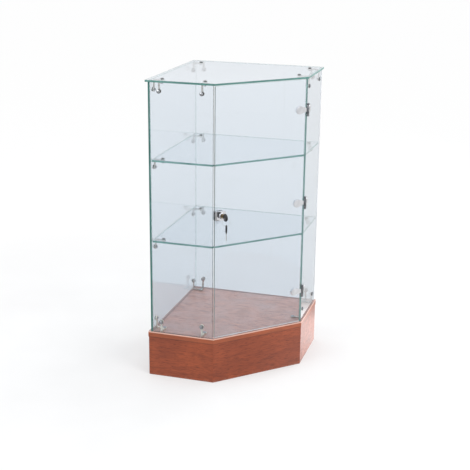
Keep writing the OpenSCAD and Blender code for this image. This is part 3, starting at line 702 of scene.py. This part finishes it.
def nut_tree():
    """A hexagon nut with turned-off corners and a countersunk bore, standing on its place."""
    tree, given = sized_tree("hexagon_nut", "Half Width", "Bore Radius", "Height")
    wide, bore, tall = given["Half Width"], given["Bore Radius"], given["Height"]
    cut = maths(tree, "MULTIPLY", tall, NUT_CHAMFER)
    shoulder = maths(tree, "SUBTRACT", tall, cut)
    sunk = maths(tree, "MULTIPLY", bore, NUT_COUNTERSINK)
    return turn_outline(tree, given, [
        (bore, shoulder, 0.0),
        (sunk, tall, 0.0),
        (wide, tall, 0.0),
        (wide, shoulder, 1.0),
        (wide, cut, 1.0),
        (wide, 0.0, 0.0),
        (sunk, 0.0, 0.0),
        (bore, cut, 0.0),
        (bore, shoulder, 0.0),
    ])


def solids_of(node):
    """The corner points of each separate solid of a CAD node."""
    shape = bmesh.new()
    shape.from_mesh(NODES[node].data)
    bmesh.ops.remove_doubles(shape, verts=shape.verts, dist=WELD)
    left = set(shape.verts)
    solids = []
    while left:
        solid = [left.pop()]
        for vertex in solid:
            near = {edge.other_vert(vertex) for edge in vertex.link_edges} & left
            left -= near
            solid += near
        solids.append([vertex.co.copy() for vertex in solid])
    shape.free()
    return solids


def span(points, way):
    """The least and greatest reach of some points along a direction."""
    reach = [point.dot(way) for point in points]
    return min(reach), max(reach)


def length_along(points, way):
    """How long a solid is along a direction."""
    low, high = span(points, way)
    return high - low


def middle_along(points, ways):
    """The middle of some points along each of a few directions at right angles."""
    return sum((sum(span(points, way)) / 2 * way for way in ways), Vector())


def placed(points, choose):
    """A solid's axis, chosen by length, its foot on that axis, its length, and its far end's radius."""
    ways = (Vector((1, 0, 0)), Vector((0, 1, 0)), UP, ALONG_DOOR, OUT_OF_DOOR)
    axis = choose(ways, key=lambda way: length_along(points, way))
    side = axis.orthogonal().normalized()
    middle = middle_along(points, (side, axis.cross(side)))
    low, high = span(points, axis)
    tip = [point - axis * point.dot(axis) for point in points if high - point.dot(axis) < ALIKE]
    return axis, middle + axis * low, high - low, max((point - middle).length for point in tip)


def set_out(node, tree, places, sizes):
    """Runs a fastener's tree over its places and keeps the result as one plain mesh."""
    cloud = bpy.data.meshes.new("places_" + node)
    cloud.from_pydata([place for place, _ in places], [], [])
    axes = cloud.attributes.new("axis", "FLOAT_VECTOR", "POINT")
    axes.data.foreach_set("vector", [number for _, axis in places for number in axis])
    holder = add_object("places_" + node, cloud)
    modifier = holder.modifiers.new("set out", "NODES")
    modifier.node_group = tree
    # Screws in top and shelves take a darker copy of the steel as painted shade
    sizes = dict(sizes, Finish=SHADED_STEEL if node in SHADED_SCREWS else FINISH[SLOT_OF[node]])
    for socket in tree.interface.items_tree:
        if socket.in_out == "INPUT" and socket.name in sizes:
            modifier[socket.identifier] = sizes[socket.name]
    bpy.context.view_layer.update()
    made = bpy.data.meshes.new_from_object(holder.evaluated_get(bpy.context.evaluated_depsgraph_get()))
    made.name = "set_" + node
    bpy.data.objects.remove(holder)
    shape = bmesh.new()
    shape.from_mesh(made)
    bmesh.ops.recalc_face_normals(shape, faces=shape.faces)
    shape.to_mesh(made)
    shape.free()
    add_piece("set_" + node, made, node)


def is_shank(radius):
    """Whether a screw's end is the flat tip of its shank and not the crown of its head."""
    return abs(radius - SHANK_RADIUS) < ALIKE


def make_screws(node, tree):
    """Equal screws: each head's underside is the place, and the shank points along the axis."""
    solids = [placed(points, max) for points in solids_of(node)]
    places = []
    for axis, foot, length, far_radius in solids:
        if is_shank(far_radius):
            places.append((foot + axis * HEAD_HEIGHT, axis))
        else:
            places.append((foot + axis * (length - HEAD_HEIGHT), -axis))
    set_out(node, tree, places, {
        "Head Radius": HEAD_RADIUS, "Head Height": HEAD_HEIGHT, "Shank Radius": SHANK_RADIUS,
        "Shank Length": solids[0][2] - HEAD_HEIGHT, "Socket Half Width": SOCKET_HALF_WIDTH,
        "Socket Depth": SOCKET_DEPTH,
    })


def make_flat_rings(node, tree, radius_name, radius):
    """Equal washers or nuts, each standing on its place along its shortest way."""
    solids = [placed(points, min) for points in solids_of(node)]
    height_name = "Height" if node in NUTS else "Thickness"
    set_out(node, tree, [(foot, axis) for axis, foot, _, _ in solids],
            {radius_name: radius, "Bore Radius": BORE_RADIUS, height_name: solids[0][2]})


# Brackets, hinges, lock and keys

# Words in the names of the small fittings, which are eased finely, and the brackets painted paler and
# warmer as a lit copy of the nickel
SMALL_WORDS = ("tongue_nut", "blade", "pin", "set_screws")
LIT_BRACKETS = ("base_bracket_left", "base_bracket_lock_side")

# The door's axis in plan, and how near to it a leaf's faces belong to its barrel, which is painted
# darker as shade
HINGE_AXIS = Vector((223 * MM, 13 * MM, 0))
BARREL_REACH = 6 * MM

# The raised rim round each broad face of a key's bow
KEY_BOWS = ("key_bow", "spare_key_bow")
RIM_WIDTH = 1.3 * MM
RIM_HEIGHT = 0.35 * MM
BOW_FACE_AREA = 100 * MM * MM


def make_fitting(node):
    """A bracket, hinge part, lock part or key with its corners eased."""
    name = "fitting_" + node
    shape = whole_faces(node)
    # The two front brackets take a pale copy of the nickel as painted light
    finishes = [LIT_NICKEL if node in LIT_BRACKETS else FINISH[SLOT_OF[node]]]
    if "leaf" in node:
        # Painted shade: the barrel faces take a darker copy of the chrome
        finishes.append(SHADED_CHROME)
        for face in shape.faces:
            out = face.calc_center_median() - HINGE_AXIS
            face.material_index = int(out.to_2d().length < BARREL_REACH)
    if node in KEY_BOWS:
        broad = [face for face in shape.faces if face.calc_area() > BOW_FACE_AREA]
        bmesh.ops.inset_individual(shape, faces=broad, thickness=RIM_WIDTH, depth=-RIM_HEIGHT,
                                   use_even_offset=True)
    piece = add_piece(name, to_mesh(name, shape, *finishes), node)
    if "bracket" in node:
        ease(piece, BRACKET_EASE, 3)
    else:
        ease(piece, FINE_EASE if any(word in node for word in SMALL_WORDS) else METAL_EASE)


# Key ring: two close turns of round wire inside the thickness of the CAD's ring

COIL_RADIUS = 0.36 * MM
COIL_STEP = 0.33 * MM
COIL_TURNS = 2
STEPS_PER_TURN = 96
WIRE_SIDES = 10
QUARTER_DEGREES = 4 * 180


def thinnest_level_way(points):
    """The level direction in which an upright ring is thinnest, to a quarter of a degree."""
    turns = [math.radians(k / 4) for k in range(QUARTER_DEGREES)]
    ways = [Vector((math.cos(turn), math.sin(turn), 0)) for turn in turns]
    return min(ways, key=lambda way: length_along(points, way))


def make_key_ring(node):
    """A split ring wound twice."""
    points = solids_of(node)[0]
    axis = thinnest_level_way(points)
    side = axis.cross(UP)
    middle = middle_along(points, (axis, side, UP))
    outer = length_along(points, UP) / 2
    wire = length_along(points, axis) / 2
    shape = bmesh.new()
    rings = []
    steps = STEPS_PER_TURN * COIL_TURNS
    for step in range(steps + 1):
        turn = math.tau * step / STEPS_PER_TURN
        out = UP * math.cos(turn) + side * math.sin(turn)
        centre = middle + out * (outer - wire) + axis * (COIL_STEP * (2 * step / steps - 1))
        ring = []
        for k in range(WIRE_SIDES):
            angle = math.tau * k / WIRE_SIDES
            from_centre = (out * math.cos(angle) + axis * math.sin(angle)) * COIL_RADIUS
            ring.append(shape.verts.new(centre + from_centre))
        rings.append(ring)
    for near, far in zip(rings, rings[1:]):
        for k in range(WIRE_SIDES):
            shape.faces.new((near[k - 1], near[k], far[k], far[k - 1])).smooth = True
    shape.faces.new(rings[0])
    shape.faces.new(rings[-1])
    bmesh.ops.recalc_face_normals(shape, faces=shape.faces)
    add_piece("split_" + node, to_mesh("split_" + node, shape, FINISH[SLOT_OF[node]]), node)


# Floor, surroundings, lamps and camera

WHITE = (1, 1, 1, 1)

# The floor: grey paper that glows where the case stands. From PAPER_FADES to PAPER_GONE metres out
# it turns into a stronger glow on black, so that all of it looks white and only the near part
# takes the shadow
FLOOR_REACH = 30.0
FLOOR_DROP = 0.5 * MM
PAPER = (0.42, 0.42, 0.42, 1)
PAPER_SPECK = (0.45, 0.45, 0.45, 1)
FAR_PAPER = (0.05, 0.05, 0.05, 1)
NEAR_GLOW = 0.44
FAR_GLOW = 0.96
PAPER_FADES = 0.6
PAPER_GONE = 1.8

# How bright a mirror shows the floor before, behind and beside the case, and what is added close
# behind it
BRIGHT_BEFORE = 0.42
BRIGHT_BEHIND = 0.74
BRIGHT_BESIDE = 0.38
BRIGHT_CLOSE_BY = 1.7

# What a mirror shows of the room on the near side, on the far side and overhead, and the room's
# own light
NEAR_SIDE = (0.10, 0.11, 0.13, 1)
FAR_SIDE = (0.56, 0.58, 0.62, 1)
OVERHEAD = (1.0, 1.02, 1.05, 1)
ROOM_LIGHT = (0.95, 0.97, 1.0, 1)
ROOM_STRENGTH = 0.62


def distance_out(tree):
    """Distance of a point on the floor from the case."""
    here = put(tree, "ShaderNodeTexCoord").outputs["Object"]
    return put(tree, "ShaderNodeVectorMath", {"operation": "LENGTH"}, Vector=here).outputs["Value"]


def mirrored_floor(tree):
    """The floor's brightness in a mirror: dim before the case, paler beside and behind it."""
    here = put(tree, "ShaderNodeTexCoord").outputs["Object"]
    place = put(tree, "ShaderNodeSeparateXYZ", Vector=here)
    behind = mapped(tree, place.outputs["Y"], -0.15, 0.25)
    beside = maths(tree, "SUBTRACT", mapped(tree, place.outputs["X"], 0.3, 0.7), behind)
    pale_beside = mapped(tree, beside, 0.0, 1.0, 0.0, BRIGHT_BESIDE)
    pale_behind = mapped(tree, behind, 0.0, 1.0, BRIGHT_BEFORE, BRIGHT_BEHIND)
    close_by = mapped(tree, distance_out(tree), 0.50, 0.66, BRIGHT_CLOSE_BY, 0.0)
    return maths(tree, "MULTIPLY_ADD", close_by, behind, maths(tree, "ADD", pale_beside, pale_behind))


def make_stage():
    """A pale floor that keeps the case's shadow and reads as white to the eye and through glass."""
    mesh = bpy.data.meshes.new("studio_floor")
    signs = ((-1, -1), (1, -1), (1, 1), (-1, 1))
    mesh.from_pydata([(x * FLOOR_REACH, y * FLOOR_REACH, 0) for x, y in signs], [], [(0, 1, 2, 3)])
    floor = add_object("studio_floor", mesh)
    floor.location.z = -FLOOR_DROP
    material, tree, output = new_material("studio_floor")
    speck = noise(tree, spot(tree), 3.0, 2.0)
    near = blended(tree, mapped(tree, speck, 0.3, 0.7), PAPER, PAPER_SPECK)
    far = mapped(tree, distance_out(tree), PAPER_FADES, PAPER_GONE)
    paper = put(tree, "ShaderNodeBsdfPrincipled", Base_Color=blended(tree, far, near, FAR_PAPER))
    paper.inputs["Roughness"].default_value = 0.9
    paper.inputs["Specular IOR Level"].default_value = 0.0
    paper.inputs["Emission Color"].default_value = WHITE
    path = put(tree, "ShaderNodeLightPath")
    seen = maths(tree, "SUBTRACT", 1.0, path.outputs["Is Diffuse Ray"])
    glow = mapped(tree, far, 0.0, 1.0, NEAR_GLOW, FAR_GLOW)
    plug(tree, paper.inputs["Emission Strength"], maths(tree, "MULTIPLY", seen, glow))
    mirrored = put(tree, "ShaderNodeEmission", Strength=mirrored_floor(tree))
    straight = maths(tree, "SUBTRACT", 1.0, path.outputs["Is Transmission Ray"])
    in_mirror = maths(tree, "MULTIPLY", straight, path.outputs["Is Glossy Ray"])
    shown = mixed(tree, in_mirror, paper.outputs[0], mirrored.outputs[0])
    plug(tree, output.inputs["Surface"], shown)
    mesh.materials.append(material)


def make_surround():
    """White to the eye and through glass. Metal mirrors a bright far side and a dim near side."""
    world = bpy.data.worlds.new("studio_surround")
    bpy.context.scene.world = world
    world.use_nodes = True
    tree = world.node_tree
    tree.nodes.clear()
    output = put(tree, "ShaderNodeOutputWorld")
    here = put(tree, "ShaderNodeTexCoord").outputs["Generated"]
    way = put(tree, "ShaderNodeSeparateXYZ", Vector=here)
    behind = mapped(tree, way.outputs["Y"], -0.5, 0.5)
    overhead = mapped(tree, way.outputs["Z"], 0.02, 0.25)
    around = blended(tree, overhead, blended(tree, behind, NEAR_SIDE, FAR_SIDE), OVERHEAD)
    mirror = put(tree, "ShaderNodeBackground", Color=around)
    lit = put(tree, "ShaderNodeBackground", Color=ROOM_LIGHT, Strength=ROOM_STRENGTH)
    white = put(tree, "ShaderNodeBackground", Color=WHITE)
    path = put(tree, "ShaderNodeLightPath")
    mirrored = mixed(tree, path.outputs["Is Glossy Ray"], lit.outputs[0], mirror.outputs[0])
    plain = maths(tree, "MAXIMUM", path.outputs["Is Camera Ray"], path.outputs["Is Transmission Ray"])
    shown = mixed(tree, plain, mirrored, white.outputs[0])
    plug(tree, output.inputs["Surface"], shown)


def add_softbox(name, place_at, aim, width, height, power, mirrored=True):
    """A soft lamp turned to a point. Glass doesn't show it, and mirrored says whether metal does."""
    lamp = bpy.data.lights.new(name, "AREA")
    lamp.shape = "RECTANGLE"
    lamp.size = width
    lamp.size_y = height
    lamp.energy = power
    holder = add_object(name, lamp)
    holder.location = place_at
    holder.rotation_mode = "QUATERNION"
    holder.rotation_quaternion = (Vector(aim) - Vector(place_at)).to_track_quat("-Z", "Y")
    holder.visible_transmission = False
    holder.visible_glossy = mirrored


def make_lamps():
    """Softboxes: high on the left, on the right, overhead, and low behind on the right."""
    middle = (0, 0, 0.45)
    add_softbox("softbox_left", (-2.2, -2.4, 2.4), middle, 2.0, 2.0, 48)
    add_softbox("softbox_right", (2.6, -1.6, 1.6), middle, 1.6, 2.0, 46, mirrored=False)
    add_softbox("softbox_top", (0.2, 0.4, 3.2), middle, 2.4, 2.4, 40)
    add_softbox("softbox_behind", (1.9, 2.6, 0.9), (0.1, 0, 0.2), 1.6, 1.4, 60, mirrored=False)


def make_camera():
    """The photograph's camera: its place, turn and lens."""
    back = Vector((
        math.sin(CAMERA_TURN) * math.cos(CAMERA_PITCH),
        -math.cos(CAMERA_TURN) * math.cos(CAMERA_PITCH),
        math.sin(CAMERA_PITCH),
    ))
    side = Vector((math.cos(CAMERA_TURN), math.sin(CAMERA_TURN), 0))
    up = back.cross(side)
    rolled_side = side * math.cos(CAMERA_ROLL) + up * math.sin(CAMERA_ROLL)
    rolled_up = up * math.cos(CAMERA_ROLL) - side * math.sin(CAMERA_ROLL)
    camera = bpy.data.cameras.new("photo_camera")
    camera.sensor_width = SENSOR_MM
    camera.lens = FOCAL_PX / PHOTO_W * SENSOR_MM
    holder = add_object("photo_camera", camera)
    turn = Matrix((rolled_side, rolled_up, back)).transposed()
    aim = MID + side * AIM_SIDE + Vector((0, 0, AIM_HEIGHT))
    holder.matrix_world = Matrix.Translation(aim + back * CAMERA_DISTANCE) @ turn.to_4x4()
    bpy.context.scene.camera = holder


# The case is put together

for pane, across in PANES.items():
    make_pane(pane, across)
for board, grain_turn in BOARD_GRAIN.items():
    make_plinth_board(board, grain_turn)
make_floor_board()

screw_maker = screw_tree()
for screws in SCREWS:
    make_screws(screws, screw_maker)
nut_maker = nut_tree()
for nuts in NUTS:
    make_flat_rings(nuts, nut_maker, "Half Width", NUT_HALF_WIDTH)
washer_maker = washer_tree()
for washers in WASHERS:
    make_flat_rings(washers, washer_maker, "Outer Radius", WASHER_RADIUS)

not_fittings = {*PANES, *BOARD_GRAIN, "floor_board", *SCREWS, *NUTS, *WASHERS, "key_ring"}
for fitting in NODES:
    if fitting not in not_fittings:
        make_fitting(fitting)
make_key_ring("key_ring")

make_stage()
make_surround()
make_lamps()
make_camera()
bpy.context.scene.view_settings.view_transform = "Standard"
